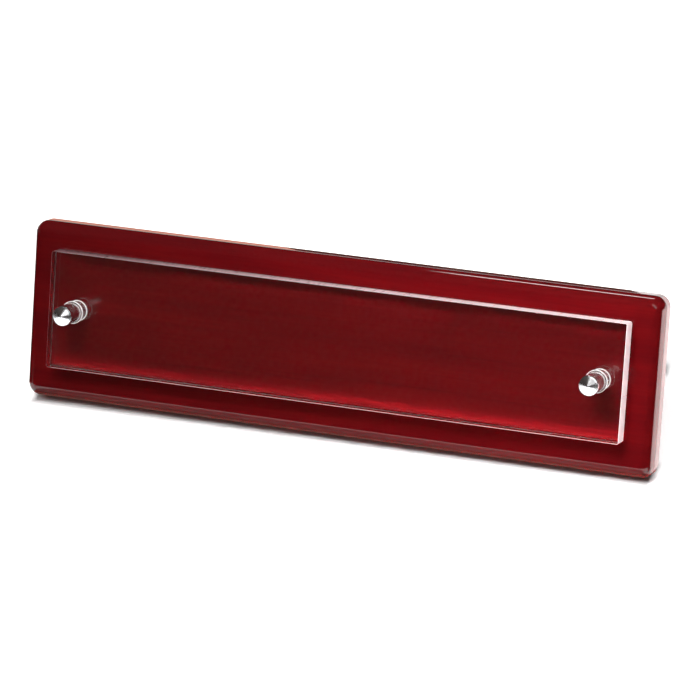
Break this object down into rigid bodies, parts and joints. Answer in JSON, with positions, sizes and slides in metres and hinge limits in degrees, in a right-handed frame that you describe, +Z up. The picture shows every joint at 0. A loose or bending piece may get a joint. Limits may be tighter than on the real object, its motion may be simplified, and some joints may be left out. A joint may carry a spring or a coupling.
{
  "type": "desk name plate",
  "caption": "Lacquered rosewood desk name plate that leans back on chrome posts, with a bare clear acrylic panel held off its face by chrome screw caps.",
  "frame": {"origin": "on the desk, under the middle of the object's box", "axes": "+X along the board to the viewer's right, -Y out of the front, +Z up"},
  "size_m": [0.2666, 0.0828, 0.0671],
  "materials": {
    "rosewood_lacquer": "dark red rosewood under a clear mirror lacquer",
    "clear_acrylic": "clear polished acrylic with cut edges",
    "chrome": "bright chrome plate",
    "clear_nylon": "clear to milky nylon",
    "zinc_steel": "zinc plated threaded rod",
    "brass": "plain turned brass"
  },
  "bodies": {
    "stand": {"backboard": "rosewood_lacquer", "name_panel": "clear_acrylic", "left_stud": "zinc_steel", "left_insert": "brass", "left_spacer": "clear_nylon", "right_stud": "zinc_steel", "right_insert": "brass", "right_spacer": "clear_nylon"},
    "left_cap_washer": {"left_cap_washer": "clear_nylon"},
    "left_cap": {"left_cap": "chrome"},
    "left_post_washer": {"left_post_washer": "clear_nylon"},
    "left_post": {"left_post": "chrome"},
    "right_cap_washer": {"right_cap_washer": "clear_nylon"},
    "right_cap": {"right_cap": "chrome"},
    "right_post_washer": {"right_post_washer": "clear_nylon"},
    "right_post": {"right_post": "chrome"}
  },
  "joints": [
    {"name": "left_cap_travel", "type": "slide", "parent": "stand", "child": "left_cap_washer", "axis": [0, -0.8869, 0.4619], "range_m": [0, 0.0056]},
    {"name": "left_cap_turn", "type": "hinge", "parent": "left_cap_washer", "child": "left_cap", "pos_m": [-0.1107, -0.02295, 0.03848], "axis": [0, -0.8869, 0.4619], "range_deg": [0, 2881]},
    {"name": "left_post_travel", "type": "slide", "parent": "stand", "child": "left_post_washer", "axis": [0, 0.8869, -0.4619], "range_m": [0, 0.0084]},
    {"name": "left_post_turn", "type": "hinge", "parent": "left_post_washer", "child": "left_post", "pos_m": [-0.1107, -0.02295, 0.03848], "axis": [0, 0.8869, -0.4619], "range_deg": [0, 4321]},
    {"name": "right_cap_travel", "type": "slide", "parent": "stand", "child": "right_cap_washer", "axis": [0, -0.8869, 0.4619], "range_m": [0, 0.0056]},
    {"name": "right_cap_turn", "type": "hinge", "parent": "right_cap_washer", "child": "right_cap", "pos_m": [0.1107, -0.02295, 0.03848], "axis": [0, -0.8869, 0.4619], "range_deg": [0, 2881]},
    {"name": "right_post_travel", "type": "slide", "parent": "stand", "child": "right_post_washer", "axis": [0, 0.8869, -0.4619], "range_m": [0, 0.0084]},
    {"name": "right_post_turn", "type": "hinge", "parent": "right_post_washer", "child": "right_post", "pos_m": [0.1107, -0.02295, 0.03848], "axis": [0, 0.8869, -0.4619], "range_deg": [0, 4321]}
  ],
  "couplings": [
    {"joint": "left_cap_turn", "follows": "left_cap_travel", "rad_per_m": 8976},
    {"joint": "left_post_turn", "follows": "left_post_travel", "rad_per_m": 8976},
    {"joint": "right_cap_turn", "follows": "right_cap_travel", "rad_per_m": 8976},
    {"joint": "right_post_turn", "follows": "right_post_travel", "rad_per_m": 8976}
  ]
}
